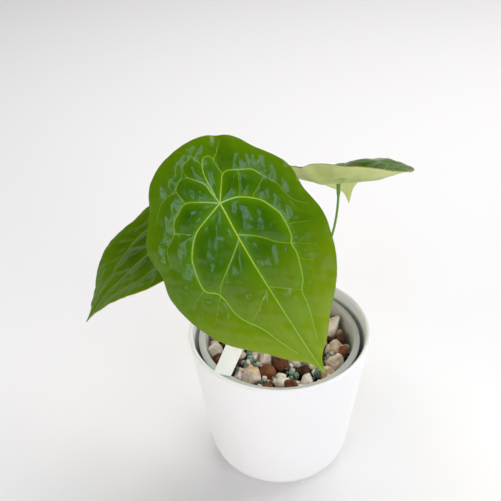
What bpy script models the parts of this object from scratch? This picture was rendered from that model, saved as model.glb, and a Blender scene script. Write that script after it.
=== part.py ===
"""Potted anthurium in a white cover pot, one object for each separate piece.

Metres, +Z up. The origin is the middle of the cover pot's underside, and the largest leaf
faces -Y. The plant is a rosette of three shield-shaped (peltate) leaves on thin petioles that
rise from one short crown. It grows in a grey liner pot filled with a loose mineral mix of
fired clay balls, pumice and green mineral chips, and the liner stands in the cover pot.
"""
import math
import random

import bmesh
import bpy
from mathutils import Matrix, Vector

MM = 0.001
GAP = 0.3 * MM                      # clearance between pieces that touch

# Cover pot: turned, with a slight taper and a well rounded foot
POT_HEIGHT = 118 * MM
POT_RIM_RADIUS = 65 * MM
POT_FOOT_RADIUS = 50 * MM           # where the wall's line would meet the ground
POT_CORNER = 22 * MM                # rounding of that corner
POT_WALL = 3 * MM
POT_FLOOR = 4 * MM
POT_LIP = 1.3 * MM                  # rounding of the rim's two edges

# Liner pot: thin plastic, with a flat rolled rim that sits just below the cover pot's rim
LINER_DROP = 6.5 * MM               # from the cover pot's rim down to the liner's rim
LINER_PLAY = 3.4 * MM               # open ring between the liner's rim and the cover pot
LINER_RIM_WIDTH = 4.5 * MM
LINER_RIM_DEPTH = 3 * MM
LINER_WALL = 1.5 * MM
LINER_FLOOR = 2 * MM
LINER_FOOT_PLAY = 4.8 * MM          # open ring between the liner's foot and the cover pot
LINER_CORNER = 16 * MM
DRAIN_COUNT = 6
DRAIN_RADIUS = 3 * MM
DRAIN_CIRCLE = 17 * MM

# Mineral mix: a solid bed with loose pieces resting on it
BED_DROP = 24.5 * MM                # from the cover pot's rim down to the bed's top
TURNS = 40                          # segments of every turned piece

# Crown: the short stem that carries the petioles
CROWN_RADIUS = 7 * MM
CROWN_ABOVE = 14.5 * MM             # above the bed
CROWN_BELOW = 22 * MM               # rootstock inside the bed

# Petioles (leaf stalks)
PETIOLE_BASE_RADIUS = 1.7 * MM
PETIOLE_RADIUS = 1.2 * MM
KNEE_RADIUS = 1.75 * MM             # the thicker joint under the blade
KNEE_LENGTH = 11 * MM
PETIOLE_SEAT = 4.5 * MM             # how deep a petiole sits in the crown

# Leaf blades
BLADE_THICKNESS = 0.8 * MM
BLADE_SPOKES = 40
BLADE_RINGS = (0.22, 0.44, 0.64, 0.8, 0.92, 1.0)

# Blade outline: bearing from the tip in degrees, and the margin's distance from the petiole
# as a share of the distance from petiole to tip. It is the same on both sides.
OUTLINE = (
    (0, 1.000), (2, 0.925), (6.5, 0.869), (15, 0.775), (29, 0.689), (43, 0.604), (57, 0.525),
    (70, 0.447), (89, 0.418), (106, 0.369), (120, 0.352), (140, 0.369), (180, 0.365),
)

# Each blade is a flat outline bowed by a height that is a sum of powers of the distance along
# and across it; these are the powers, and the distance at which the bow is measured
BOW_REACH = 60 * MM
BOW_POWERS = ((2, 0), (1, 1), (0, 2), (3, 0), (2, 1), (1, 2), (0, 3), (1, 3))

# Plant label: a blank strip with a tapered end, lying across the liner's rim on the mix
LABEL_LENGTH = 76 * MM
LABEL_WIDTH = 13 * MM
LABEL_TIP_WIDTH = 12.2 * MM
LABEL_TAPER = 24 * MM
LABEL_THICKNESS = 0.7 * MM
LABEL_BEARING = 225                 # degrees around the pot to its lower end
LABEL_HEADING = 73                  # degrees, the way it points from there


# --------------------------------------------------------------------------- helpers

def material(name, colour, roughness, metallic=0.0):
    made = bpy.data.materials.new(name)
    made.use_nodes = True
    shader = made.node_tree.nodes["Principled BSDF"]
    shader.inputs["Base Color"].default_value = (*colour, 1.0)
    shader.inputs["Roughness"].default_value = roughness
    shader.inputs["Metallic"].default_value = metallic
    return made


def add_object(name, bm, surface, smooth=True):
    """Turn a bmesh into a named object with one material."""
    bmesh.ops.recalc_face_normals(bm, faces=bm.faces)
    mesh = bpy.data.meshes.new(name)
    bm.to_mesh(mesh)
    bm.free()
    if smooth:
        mesh.shade_smooth()
        mesh.set_sharp_from_angle(angle=math.radians(40))
    mesh.materials.append(surface)
    made = bpy.data.objects.new(name, mesh)
    bpy.context.scene.collection.objects.link(made)
    return made


def rounded_path(corners, steps=4):
    """Points along (radius, height, rounding) corners, with each rounding as an arc."""
    path = []
    for index, (x, z, rounding) in enumerate(corners):
        here = Vector((x, z))
        if rounding <= 0 or index in (0, len(corners) - 1):
            path.append(here)
            continue
        before = (Vector(corners[index - 1][:2]) - here).normalized()
        after = (Vector(corners[index + 1][:2]) - here).normalized()
        half = before.angle(after) / 2
        centre = here + (before + after).normalized() * rounding / math.sin(half)
        start = here + before * rounding / math.tan(half) - centre
        end = here + after * rounding / math.tan(half) - centre
        sweep = start.angle_signed(end)
        for step in range(steps + 1):
            path.append(centre + Matrix.Rotation(-sweep * step / steps, 2) @ start)
    return path


def turned(name, corners, surface, steps=4):
    """A solid turned about Z from a profile that starts and ends on the axis."""
    bm = bmesh.new()
    path = rounded_path(corners, steps)
    verts = [bm.verts.new((point.x, 0, point.y)) for point in path]
    edges = [bm.edges.new(pair) for pair in zip(verts, verts[1:])]
    bmesh.ops.spin(bm, geom=verts + edges, cent=(0, 0, 0), axis=(0, 0, 1),
                   angle=math.tau, steps=TURNS, use_merge=True)
    bmesh.ops.remove_doubles(bm, verts=bm.verts, dist=0.001 * MM)
    return add_object(name, bm, surface)


def cut(target, cutters, name):
    """Cut one object away from another; the cutter stays as a hidden guide."""
    tool = add_object(name, cutters, target.data.materials[0], smooth=False)
    tool.hide_render = True
    tool.display_type = "WIRE"
    modifier = target.modifiers.new(name, "BOOLEAN")
    modifier.operation = "DIFFERENCE"
    modifier.object = tool


def add_cylinder(bm, radius, start, end, segments=24):
    along = end - start
    place = Matrix.Translation((start + end) / 2) @ along.to_track_quat("Z", "Y").to_matrix().to_4x4()
    bmesh.ops.create_cone(bm, cap_ends=True, segments=segments, radius1=radius, radius2=radius,
                          depth=along.length, matrix=place)


def smooth_value(stations, at):
    """Read a smooth curve through (position, value) stations."""
    last = len(stations) - 2
    index = min(max(i for i, (x, _) in enumerate(stations) if x <= at), last)
    (x0, y0), (x1, y1) = stations[index], stations[index + 1]

    def slope(i):
        if i in (0, len(stations) - 1):
            return 0.0 if i else (stations[1][1] - stations[0][1]) / (stations[1][0] - stations[0][0])
        low, high = stations[i - 1], stations[i + 1]
        return (high[1] - low[1]) / (high[0] - low[0])

    width = x1 - x0
    t = (at - x0) / width
    rise = (y1 - y0)
    return (y0 + rise * (3 * t * t - 2 * t ** 3)
            + slope(index) * width * (t - 2 * t * t + t ** 3)
            + slope(index + 1) * width * (t ** 3 - t * t))


for old in list(bpy.data.objects):
    bpy.data.objects.remove(old, do_unlink=True)

WHITE_PLASTIC = material("white_matt_plastic", (0.86, 0.87, 0.88), 0.45)
GREY_PLASTIC = material("grey_liner_plastic", (0.45, 0.45, 0.44), 0.5)
MIX = material("dark_mineral_mix", (0.06, 0.035, 0.025), 0.95)
CLAY = material("fired_clay", (0.22, 0.075, 0.04), 0.85)
PUMICE = material("pumice", (0.78, 0.7, 0.6), 0.95)
ZEOLITE = material("green_zeolite", (0.26, 0.42, 0.34), 0.8)
LABEL = material("label_plastic", (0.88, 0.87, 0.85), 0.4)
STEM = material("green_stem", (0.12, 0.26, 0.03), 0.5)
LEAF = material("leaf_upper", (0.06, 0.19, 0.01), 0.3)
PAPERY = material("dry_sheath", (0.36, 0.24, 0.12), 0.8)


# --------------------------------------------------------------------------- cover pot

def pot_outer_radius(height):
    return POT_FOOT_RADIUS + (POT_RIM_RADIUS - POT_FOOT_RADIUS) * height / POT_HEIGHT


def pot_inner_radius(height):
    return pot_outer_radius(height) - POT_WALL


turned("outer_pot", (
    (0, 0, 0),
    (POT_FOOT_RADIUS, 0, POT_CORNER),
    (POT_RIM_RADIUS, POT_HEIGHT, POT_LIP),
    (POT_RIM_RADIUS - POT_WALL, POT_HEIGHT, POT_LIP),
    (pot_inner_radius(POT_FLOOR), POT_FLOOR, POT_CORNER - POT_WALL),
    (0, POT_FLOOR, 0),
), WHITE_PLASTIC)


# --------------------------------------------------------------------------- liner pot

LINER_FOOT = POT_FLOOR + GAP
LINER_TOP = POT_HEIGHT - LINER_DROP
RIM_OUTER = pot_inner_radius(LINER_TOP) - LINER_PLAY
RIM_INNER = RIM_OUTER - LINER_RIM_WIDTH
FOOT_INNER = pot_inner_radius(LINER_FOOT) - LINER_FOOT_PLAY - LINER_WALL
LINER_TAPER = RIM_INNER - FOOT_INNER            # how much narrower the foot is than the top


def liner_inner_radius(height):
    return RIM_INNER - LINER_TAPER * (LINER_TOP - height) / (LINER_TOP - LINER_FOOT)


def liner_outer_radius(height):
    return liner_inner_radius(height) + LINER_WALL


rim_underside = LINER_TOP - LINER_RIM_DEPTH
liner = turned("liner_pot", (
    (0, LINER_FOOT, 0),
    (liner_outer_radius(LINER_FOOT), LINER_FOOT, LINER_CORNER),
    (liner_outer_radius(rim_underside), rim_underside, 0),
    (RIM_OUTER, rim_underside, 0.8 * MM),
    (RIM_OUTER, LINER_TOP, 0.9 * MM),
    (RIM_INNER, LINER_TOP, 0.9 * MM),
    (liner_inner_radius(LINER_FOOT + LINER_FLOOR), LINER_FOOT + LINER_FLOOR,
     LINER_CORNER - LINER_WALL),
    (0, LINER_FOOT + LINER_FLOOR, 0),
), GREY_PLASTIC)

drains = bmesh.new()
for number in range(DRAIN_COUNT):
    around = Matrix.Rotation(math.tau * number / DRAIN_COUNT, 3, "Z")
    middle = around @ Vector((DRAIN_CIRCLE, 0, LINER_FOOT + LINER_FLOOR / 2))
    reach = Vector((0, 0, LINER_FLOOR))
    add_cylinder(drains, DRAIN_RADIUS, middle - reach, middle + reach, segments=16)
cut(liner, drains, "drain_cutter")


# --------------------------------------------------------------------------- leaves

BED_TOP = POT_HEIGHT - BED_DROP


class Leaf:
    """Where one leaf stands and how its blade is bowed.

    hub is the point on the blade where the petiole joins, and base is the petiole's seat in
    the crown, both with their height above the bed. heading is the compass way of the tip,
    from +X towards +Y. droop is how far the midrib falls below level at the hub, and
    roll turns the blade about its midrib, all in degrees. bow lists the blade's height above
    its flat plane at BOW_REACH from the hub, in millimetres, one for each power in BOW_POWERS.
    rise is the way the petiole leaves the crown, and hang is the share of its span over which
    it drops square from the blade before it leans over.
    """

    def __init__(self, name, hub, heading, droop, roll, length, widths, bow, base, rise, hang):
        self.name = name
        self.hub = Vector(hub) * MM + Vector((0, 0, BED_TOP))
        self.heading = math.radians(heading)
        self.droop = math.radians(droop)
        self.roll = math.radians(roll)
        self.length = length * MM
        self.left_width, self.right_width = widths
        self.bow = [height * MM for height in bow]
        self.base = Vector(base) * MM + Vector((0, 0, BED_TOP))
        self.rise = Vector(rise).normalized()
        self.hang = hang

    def axes(self):
        along = Vector((math.cos(self.heading) * math.cos(self.droop),
                        math.sin(self.heading) * math.cos(self.droop),
                        -math.sin(self.droop)))
        across = Vector((-math.sin(self.heading), math.cos(self.heading), 0))
        up = along.cross(across)
        level = across * math.cos(self.roll) + up * math.sin(self.roll)
        return along, level, along.cross(level)

    def bowed(self, along, across):
        """World place of a point on the flat blade, once the blade is bowed."""
        x = along / BOW_REACH
        y = across / BOW_REACH
        height = sum(rise * x ** i * y ** j for rise, (i, j) in zip(self.bow, BOW_POWERS))
        x_axis, y_axis, z_axis = self.axes()
        return self.hub + x_axis * along + y_axis * across + z_axis * height

    def point(self, along, across, height):
        """The same point, moved off the blade's middle along its normal."""
        step = 0.2 * MM
        here = self.bowed(along, across)
        ahead = self.bowed(along + step, across) - here
        aside = self.bowed(along, across + step) - here
        return here + ahead.cross(aside).normalized() * height


LEAVES = (
    Leaf("front_leaf", hub=(-36.6, -26.6, 146.7), heading=-50.9, droop=38.2, roll=31.4,
         length=119.5, widths=(0.96, 1.07), bow=(-6, 0, -7, 0, 0, 0, 0, 0),
         base=(-2.2, -2.6, 9.5), rise=(-0.16, -0.02, 1), hang=0.16),
    Leaf("left_leaf", hub=(-68.4, 14.4, 105.2), heading=221.7, droop=27.4, roll=12.6,
         length=87.7, widths=(1.05, 1.05), bow=(12.6, 0.7, 1.8, -8.3, 6.3, 2, -7.1, -3.4),
         base=(-2.6, 2.4, 9.5), rise=(-0.5, 0.2, 1), hang=0.16),
    Leaf("right_leaf", hub=(43.3, 43.8, 118.1), heading=78.7, droop=21.8, roll=-4.7,
         length=109.2, widths=(1.08, 1.08), bow=(23.9, -9.3, 13.6, -18.7, -4.4, -16.9, 3.7, 19.1),
         base=(3.0, 0.8, 9.5), rise=(0.4, 0.6, 1), hang=0.45),
)


def blade(leaf):
    """A thin closed shell: the same spokes and rings on its upper and lower faces."""
    bm = bmesh.new()
    half = BLADE_THICKNESS / 2
    bearings = []
    for spoke in range(BLADE_SPOKES):
        turn = 2 * spoke / BLADE_SPOKES - 1
        bearings.append(math.copysign(180 * abs(turn) ** 1.35, turn))
    faces = []
    for height in (half, -half):
        hub = bm.verts.new(leaf.point(0, 0, height))
        rings = []
        for share in BLADE_RINGS:
            ring = []
            for bearing in bearings:
                reach = share * leaf.length * smooth_value(OUTLINE, abs(bearing))
                width = leaf.left_width if bearing > 0 else leaf.right_width
                along = reach * math.cos(math.radians(bearing))
                across = reach * math.sin(math.radians(bearing)) * width
                ring.append(bm.verts.new(leaf.point(along, across, height)))
            rings.append(ring)
        faces.append((hub, rings))
    for hub, rings in faces:
        for spoke in range(BLADE_SPOKES):
            after = (spoke + 1) % BLADE_SPOKES
            bm.faces.new((hub, rings[0][spoke], rings[0][after]))
            for inner, outer in zip(rings, rings[1:]):
                bm.faces.new((inner[spoke], outer[spoke], outer[after], inner[after]))
    upper, lower = faces[0][1][-1], faces[1][1][-1]
    for spoke in range(BLADE_SPOKES):
        after = (spoke + 1) % BLADE_SPOKES
        bm.faces.new((upper[spoke], lower[spoke], lower[after], upper[after]))
    return add_object(leaf.name + "_blade", bm, LEAF)


def petiole_points(leaf, count=36):
    """A smooth stalk from its seat in the crown to just under the blade."""
    normal = leaf.axes()[2]
    start = leaf.base
    end = leaf.hub - normal * (BLADE_THICKNESS / 2 + GAP)
    span = (end - start).length
    first = start + leaf.rise * span * 0.45
    last = end - normal * span * leaf.hang
    points = []
    for step in range(count + 1):
        t = step / count
        points.append(start * (1 - t) ** 3 + first * 3 * t * (1 - t) ** 2
                      + last * 3 * t * t * (1 - t) + end * t ** 3)
    return points


def petiole(leaf):
    points = petiole_points(leaf)
    curve = bpy.data.curves.new(leaf.name + "_petiole", "CURVE")
    curve.dimensions = "3D"
    curve.bevel_depth = 1 * MM
    curve.bevel_resolution = 3
    curve.use_fill_caps = True
    curve.materials.append(STEM)
    line = curve.splines.new("POLY")
    line.points.add(len(points) - 1)
    from_end = 0.0
    for index in reversed(range(len(points))):
        if index < len(points) - 1:
            from_end += (points[index + 1] - points[index]).length
        share = index / (len(points) - 1)
        radius = PETIOLE_BASE_RADIUS + (PETIOLE_RADIUS - PETIOLE_BASE_RADIUS) * min(1, share * 1.5)
        knee = min(1, max(0, (KNEE_LENGTH - from_end) / (3 * MM)))
        radius += (KNEE_RADIUS - radius) * knee
        line.points[index].co = (*points[index], 1)
        line.points[index].radius = radius / (1 * MM)
    made = bpy.data.objects.new(leaf.name + "_petiole", curve)
    bpy.context.scene.collection.objects.link(made)


for leaf in LEAVES:
    blade(leaf)
    petiole(leaf)


# --------------------------------------------------------------------------- crown

CROWN_TOP = BED_TOP + CROWN_ABOVE
CROWN_FOOT = BED_TOP - CROWN_BELOW
crown = turned("crown_stem", (
    (0, CROWN_FOOT, 0),
    (CROWN_RADIUS * 0.7, CROWN_FOOT, 3 * MM),
    (CROWN_RADIUS, BED_TOP - 6 * MM, 2 * MM),
    (CROWN_RADIUS, BED_TOP + 4 * MM, 2 * MM),
    (CROWN_RADIUS * 0.9, BED_TOP + 6 * MM, 2 * MM),
    (CROWN_RADIUS, BED_TOP + 8.5 * MM, 2 * MM),
    (CROWN_RADIUS, CROWN_TOP, 2.5 * MM),
    (0, CROWN_TOP, 0),
), STEM, steps=3)

seats = bmesh.new()
for leaf in LEAVES:
    add_cylinder(seats, PETIOLE_BASE_RADIUS + GAP, leaf.base - leaf.rise * GAP,
                 leaf.base + leaf.rise * PETIOLE_SEAT * 3, segments=16)
cut(crown, seats, "petiole_seat_cutter")


# --------------------------------------------------------------------------- mineral mix

def bed_radius(height):
    return liner_inner_radius(height) - GAP


bed_foot = LINER_FOOT + LINER_FLOOR + GAP
turned("substrate_bed", (
    (0, bed_foot, 0),
    (bed_radius(bed_foot), bed_foot, LINER_CORNER - LINER_WALL - GAP),
    (bed_radius(BED_TOP), BED_TOP, 0),
    (CROWN_RADIUS + GAP, BED_TOP, 0),
    (CROWN_RADIUS + GAP, CROWN_FOOT - GAP, 0),
    (0, CROWN_FOOT - GAP, 0),
), MIX)

# Loose pieces: kind, bearing around the pot in degrees, how far out as a share of the way to
# the liner's wall, and size across in millimetres. Each is dropped where it lies.
LOOSE = (
    ("pumice", 238, 0.87, 12), ("leca_ball", 252, 0.66, 12.9), ("pumice", 236, 0.40, 10),
    ("leca_ball", 272, 0.48, 11), ("pumice", 272, 0.84, 10), ("leca_ball", 258, 0.95, 9),
    ("leca_ball", 278, 0.99, 9.5), ("leca_ball", 300, 0.66, 9.8), ("pumice", 294, 0.91, 9.6),
    ("pumice", 317, 0.95, 10.4), ("pumice", 332, 0.99, 12.2), ("leca_ball", 332, 0.66, 8.5),
    ("pumice", 352, 0.97, 12), ("leca_ball", 344, 1.0, 7), ("leca_ball", 7, 0.99, 9.5),
    ("pumice", 25, 0.98, 14.5), ("pumice", 183, 0.99, 9), ("leca_ball", 196, 0.98, 9.5),
    ("zeolite_chip", 215, 0.56, 8), ("zeolite_chip", 218, 0.80, 6), ("zeolite_chip", 286, 0.76, 5.5),
    ("zeolite_chip", 308, 0.86, 5.5), ("zeolite_chip", 2, 0.78, 5.5), ("pumice", 305, 0.40, 9),
    ("leca_ball", 350, 0.62, 11), ("pumice", 15, 0.55, 11), ("leca_ball", 48, 0.98, 12.5),
    ("leca_ball", 42, 0.60, 11.5), ("pumice", 68, 0.97, 12), ("pumice", 75, 0.55, 11),
    ("leca_ball", 90, 0.98, 12), ("leca_ball", 108, 0.60, 12), ("pumice", 111, 0.99, 12.5),
    ("zeolite_chip", 98, 0.74, 7), ("leca_ball", 132, 0.97, 12), ("pumice", 139, 0.60, 16.5),
    ("zeolite_chip", 150, 0.92, 7), ("pumice", 160, 0.97, 11), ("leca_ball", 177, 0.60, 12),
    ("zeolite_chip", 60, 0.35, 7), ("leca_ball", 205, 0.99, 8),
)


class Loose:
    """One loose piece of the mix, as the ball it fits in."""

    def __init__(self, kind, bearing, share, size):
        self.kind = kind
        self.radius = size * MM / 2
        nearest = CROWN_RADIUS + GAP + self.radius
        furthest = bed_radius(BED_TOP) - self.radius
        reach = nearest + (furthest - nearest) * (share * furthest - nearest) / (furthest - nearest)
        reach = max(nearest, reach)
        self.x = reach * math.cos(math.radians(bearing))
        self.y = reach * math.sin(math.radians(bearing))
        self.z = BED_TOP + GAP + self.radius

    def drop_on(self, others):
        """Rise until the ball clears the bed and every ball that already lies there."""
        moved = True
        while moved:
            moved = False
            for other in others:
                apart = self.radius + other.radius + GAP
                flat = math.hypot(self.x - other.x, self.y - other.y)
                if flat < apart and abs(self.z - other.z) < math.sqrt(apart ** 2 - flat ** 2) - 1e-9:
                    self.z = other.z + math.sqrt(apart ** 2 - flat ** 2)
                    moved = True


def loose_mesh(name, piece, dice, surface):
    """An irregular lump inside its ball: rounded, craggy or chipped, by its kind."""
    rough, flatness, level = {
        "leca_ball": (0.05, 0.93, 2),
        "pumice": (0.24, 0.8, 2),
        "zeolite_chip": (0.2, 0.75, 1),
    }[piece.kind]
    bm = bmesh.new()
    bmesh.ops.create_icosphere(bm, subdivisions=level, radius=piece.radius)
    turn = Matrix.Rotation(dice.uniform(0, math.tau), 3, Vector([dice.uniform(-1, 1) for _ in "xyz"]))
    for vert in bm.verts:
        vert.co *= 1 - dice.uniform(0, rough)
        vert.co.z *= flatness
    bmesh.ops.transform(bm, matrix=turn.to_4x4(), verts=bm.verts)
    made = add_object(name, bm, surface)
    made.location = (piece.x, piece.y, piece.z)


dice = random.Random(7)
surfaces = {"leca_ball": CLAY, "pumice": PUMICE, "zeolite_chip": ZEOLITE}
counts = {kind: 0 for kind in surfaces}
pieces = []
for kind, bearing, share, size in LOOSE:
    piece = Loose(kind, bearing, share, size)
    piece.drop_on(pieces)
    pieces.append(piece)
    counts[kind] += 1
    loose_mesh(f"{kind}_{counts[kind]:02d}", piece, dice, surfaces[kind])


# --------------------------------------------------------------------------- plant label

def label_tilt(foot, way, reach):
    """The least tilt at which the label clears every loose piece under it."""
    tilt = 0.0
    for piece in pieces:
        offset = Vector((piece.x, piece.y, piece.z)) - foot
        along = offset.xy.dot(way)
        aside = abs(offset.xy.cross(way))
        if aside > LABEL_WIDTH / 2 + piece.radius or along < 0 or along > reach + piece.radius:
            continue
        distance = math.hypot(along, offset.z)
        tilt = max(tilt, math.atan2(offset.z, along) + math.asin((piece.radius + GAP) / distance))
    return tilt


label_way = Vector((math.cos(math.radians(LABEL_HEADING)), math.sin(math.radians(LABEL_HEADING))))
foot_reach = RIM_OUTER - 0.5 * MM
label_foot = Vector((foot_reach * math.cos(math.radians(LABEL_BEARING)),
                     foot_reach * math.sin(math.radians(LABEL_BEARING)),
                     LINER_TOP + GAP))
tilt = label_tilt(label_foot, label_way, LABEL_LENGTH)

bm = bmesh.new()
half_tip = LABEL_TIP_WIDTH / 2
half_width = LABEL_WIDTH / 2
outline = ((0, -half_tip), (LABEL_TAPER, -half_width), (LABEL_LENGTH, -half_width),
           (LABEL_LENGTH, half_width), (LABEL_TAPER, half_width), (0, half_tip))
bottom = bm.faces.new([bm.verts.new((x, y, 0)) for x, y in outline])
lifted = bmesh.ops.extrude_face_region(bm, geom=[bottom])
top = [item for item in lifted["geom"] if isinstance(item, bmesh.types.BMVert)]
bmesh.ops.translate(bm, verts=top, vec=(0, 0, LABEL_THICKNESS))
label = add_object("plant_label", bm, LABEL)
label.location = label_foot
label.rotation_euler = (0, -tilt, math.radians(LABEL_HEADING))
corners = label.modifiers.new("soft_corners", "BEVEL")
corners.width = 0.12 * MM
corners.segments = 1


# --------------------------------------------------------------------------- dry sheaths

def sheath(name, bearing, height, wrap, lean):
    """A papery sheath that hugs the crown: a curved strip that narrows to a point."""
    bm = bmesh.new()
    rows, columns = 8, 6
    layers = []
    for inset in (GAP, GAP + 0.5 * MM):
        layer = []
        for row in range(rows + 1):
            up = row / rows
            width = wrap * (1 - up ** 1.6) + 4
            out = CROWN_RADIUS + inset + lean * MM * up ** 1.5
            line = []
            for column in range(columns + 1):
                angle = math.radians(bearing + width * (column / columns - 0.5))
                line.append(bm.verts.new((out * math.cos(angle), out * math.sin(angle),
                                          BED_TOP + GAP + height * MM * up)))
            layer.append(line)
        layers.append(layer)
    inner, outer = layers
    for layer in layers:
        for low, high in zip(layer, layer[1:]):
            for column in range(columns):
                bm.faces.new((low[column], low[column + 1], high[column + 1], high[column]))
    for one, two in ((inner[0], outer[0]), (inner[-1], outer[-1])):
        for column in range(columns):
            bm.faces.new((one[column], one[column + 1], two[column + 1], two[column]))
    for side in (0, columns):
        for row in range(rows):
            bm.faces.new((inner[row][side], inner[row + 1][side],
                          outer[row + 1][side], outer[row][side]))
    add_object(name, bm, PAPERY)


sheath("cataphyll_01", bearing=100, height=24, wrap=95, lean=1.5)
sheath("cataphyll_02", bearing=215, height=19, wrap=80, lean=2.5)
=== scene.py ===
import math
import random

import bmesh
import bpy
import numpy as np
from mathutils import Euler, Matrix, Vector, noise


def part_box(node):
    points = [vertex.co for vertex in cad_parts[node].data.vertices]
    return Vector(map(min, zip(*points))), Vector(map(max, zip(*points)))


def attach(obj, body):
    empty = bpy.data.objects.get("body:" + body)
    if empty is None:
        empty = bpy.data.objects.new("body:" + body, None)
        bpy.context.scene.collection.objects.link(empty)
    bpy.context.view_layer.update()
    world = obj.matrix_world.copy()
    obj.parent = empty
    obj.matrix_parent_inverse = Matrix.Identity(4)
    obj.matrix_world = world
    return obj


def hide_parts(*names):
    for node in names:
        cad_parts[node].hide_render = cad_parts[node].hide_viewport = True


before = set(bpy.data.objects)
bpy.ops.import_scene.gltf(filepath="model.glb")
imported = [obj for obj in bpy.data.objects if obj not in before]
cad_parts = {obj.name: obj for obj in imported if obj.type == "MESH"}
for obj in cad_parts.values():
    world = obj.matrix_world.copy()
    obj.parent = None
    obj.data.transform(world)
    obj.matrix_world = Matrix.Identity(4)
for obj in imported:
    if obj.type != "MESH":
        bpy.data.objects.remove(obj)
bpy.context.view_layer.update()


# ------------------------------------------------------------------ studio
# A pale matt sweep under the pot, and a camera that looks down on the plant over its largest
# leaf. A broad window on the right and three soft fills light it, and two narrow panes above
# the camera draw streaks in the waxy leaves.

def linear(code, alpha=1.0):
    """An sRGB hex colour as the linear values that Blender's sockets take."""
    parts = [int(code[i:i + 2], 16) / 255 for i in (1, 3, 5)]
    return (*[p / 12.92 if p <= 0.04045 else ((p + 0.055) / 1.055) ** 2.4 for p in parts], alpha)


def add_node(tree, kind, inputs=(), stops=(), **settings):
    """Add a shader node, set its properties, and set or link each input that is given."""
    made = tree.nodes.new("ShaderNode" + kind)
    for name, value in settings.items():
        setattr(made, name, value)
    for name, value in dict(inputs).items():
        if isinstance(value, bpy.types.NodeSocket):
            tree.links.new(value, made.inputs[name])
        else:
            made.inputs[name].default_value = value
    for index, (place, colour) in enumerate(stops):
        ramp = made.color_ramp.elements
        stop = ramp[index] if index < len(ramp) else ramp.new(place)
        stop.position = place
        stop.color = colour
    return made


def new_material(name, **sockets):
    """A material with a Principled shader, and its fixed socket values."""
    made = bpy.data.materials.new(name)
    made.use_nodes = True
    shader = made.node_tree.nodes["Principled BSDF"]
    for socket, value in sockets.items():
        shader.inputs[socket.replace("_", " ")].default_value = value
    return made, made.node_tree, shader


sweep_mesh = bpy.data.meshes.new("studio_sweep")
SWEEP = 15.0                                  # metres each way
sweep_mesh.from_pydata([(-SWEEP, -SWEEP, 0), (SWEEP, -SWEEP, 0), (SWEEP, SWEEP, 0), (-SWEEP, SWEEP, 0)],
                       [], [(0, 1, 2, 3)])
sweep = bpy.data.objects.new("studio_sweep", sweep_mesh)
bpy.context.scene.collection.objects.link(sweep)
# Matt backdrop paper: almost white, with a faint cloudiness that keeps it from looking flat
paper, tree, shader = new_material("pale_backdrop_paper", Roughness=0.9)
fibre = add_node(tree, "TexNoise", {"Scale": 3.0, "Detail": 4.0})
tint = add_node(tree, "Mix", {0: fibre.outputs["Fac"], 6: linear("#f3f1ef"), 7: linear("#f6f4f2")},
                data_type="RGBA")
tree.links.new(tint.outputs[2], shader.inputs["Base Color"])
sweep_mesh.materials.append(paper)

camera_data = bpy.data.cameras.new("camera")
camera_data.lens = 60
camera_data.sensor_width = 36
camera = bpy.data.objects.new("camera", camera_data)
bpy.context.scene.collection.objects.link(camera)
camera.location = (-0.019, -0.457, 0.506)
LOOK_DOWN = math.radians(35)
CAMERA_LEAN = math.radians(-1.5)
camera.matrix_world = (Matrix.Translation(camera.location)
                       @ Matrix.Rotation(math.pi / 2 - LOOK_DOWN, 4, "X")
                       @ Matrix.Rotation(CAMERA_LEAN, 4, "Z"))
bpy.context.scene.camera = camera
bpy.context.scene.view_settings.view_transform = "Standard"

world = bpy.data.worlds.new("studio_air")
bpy.context.scene.world = world
world.use_nodes = True
# Bright walls all round, and a dim ceiling, so that the glossy leaves stay deep green
tree = world.node_tree
height = add_node(tree, "SeparateXYZ", {0: add_node(tree, "TexCoord").outputs["Generated"]})
walls = add_node(tree, "ValToRGB", {"Fac": height.outputs["Z"]}, stops=(
    (0.0, linear("#ececf0")), (0.24, linear("#e4e4e8")), (0.45, linear("#404046"))))
tree.links.new(walls.outputs["Color"], tree.nodes["Background"].inputs["Color"])


def panel(name, place, aim, size, power, colour, mirrored=False):
    """A soft rectangular light panel, aimed at a point; only window panes show in gloss."""
    light = bpy.data.lights.new(name, "AREA")
    light.shape = "RECTANGLE"
    light.size, light.size_y = size
    light.energy = power
    light.color = linear(colour)[:3]
    lamp = bpy.data.objects.new(name, light)
    bpy.context.scene.collection.objects.link(lamp)
    lamp.visible_glossy = mirrored
    way = Vector(aim) - Vector(place)
    lamp.matrix_world = Matrix.Translation(place) @ way.to_track_quat("-Z", "Y").to_matrix().to_4x4()


panel("window_right", (1.35, 0.35, 1.25), (0, 0, 0.12), (1.2, 1.4), 14, "#ffffff", mirrored=True)
panel("front_right", (1.0, -1.35, 0.75), (0, 0, 0.12), (0.9, 0.7), 9, "#ffffff")
panel("front_left", (-1.3, -1.1, 0.6), (0, 0, 0.08), (1.0, 0.8), 8.5, "#fff0e0")
panel("overhead", (0.1, 0.75, 1.7), (0, 0, 0.1), (1.3, 1.0), 19, "#ffffff")
panel("pane_left", (-0.34, -0.86, 1.20), (-0.03, -0.05, 0.2), (0.10, 0.80), 1.5, "#c0d8f6", mirrored=True)
panel("pane_right", (-0.12, -0.84, 1.22), (-0.03, -0.05, 0.2), (0.10, 0.80), 1.5, "#c0d8f6", mirrored=True)


# ------------------------------------------------------------------ cover pot
# The outer pot: moulded in white plastic with a fine matt skin, a thin rounded rim, and a
# wall that tapers to a well rounded foot. Its own marks are only faint moulding unevenness.

MM = 0.001
POT_HEIGHT = 118 * MM
POT_RIM = 65 * MM
POT_FOOT = 50 * MM
POT_CORNER = 22 * MM
POT_WALL = 3 * MM
POT_FLOOR = 4 * MM
POT_LIP = 1.3 * MM


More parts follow.
